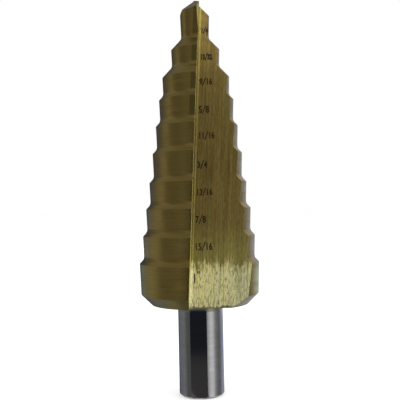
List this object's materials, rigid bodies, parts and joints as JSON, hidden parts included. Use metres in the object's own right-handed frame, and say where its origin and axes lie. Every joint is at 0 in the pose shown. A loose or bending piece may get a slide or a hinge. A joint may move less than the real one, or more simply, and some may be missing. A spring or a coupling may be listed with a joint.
{
  "type": "step drill",
  "caption": "Step drill for sheet metal: a stepped, tapering head with bevelled cutting steps, straight flutes and a ground point, on a round shank with flats for a chuck.",
  "frame": {"origin": "centre of the shank's end face", "axes": "+Z along the drill's axis from the shank's end to the point; -Y is the side that the first flute opens to, with its cutting edges on the -X side of it"},
  "size_m": [0.0254, 0.0252, 0.0835],
  "materials": {
    "tool_steel": "ground high-speed steel with a gold-coloured nitride coat on the stepped head; the shank is bare satin steel"
  },
  "bodies": {
    "root": {"step_drill": "tool_steel"}
  },
  "joints": []
}
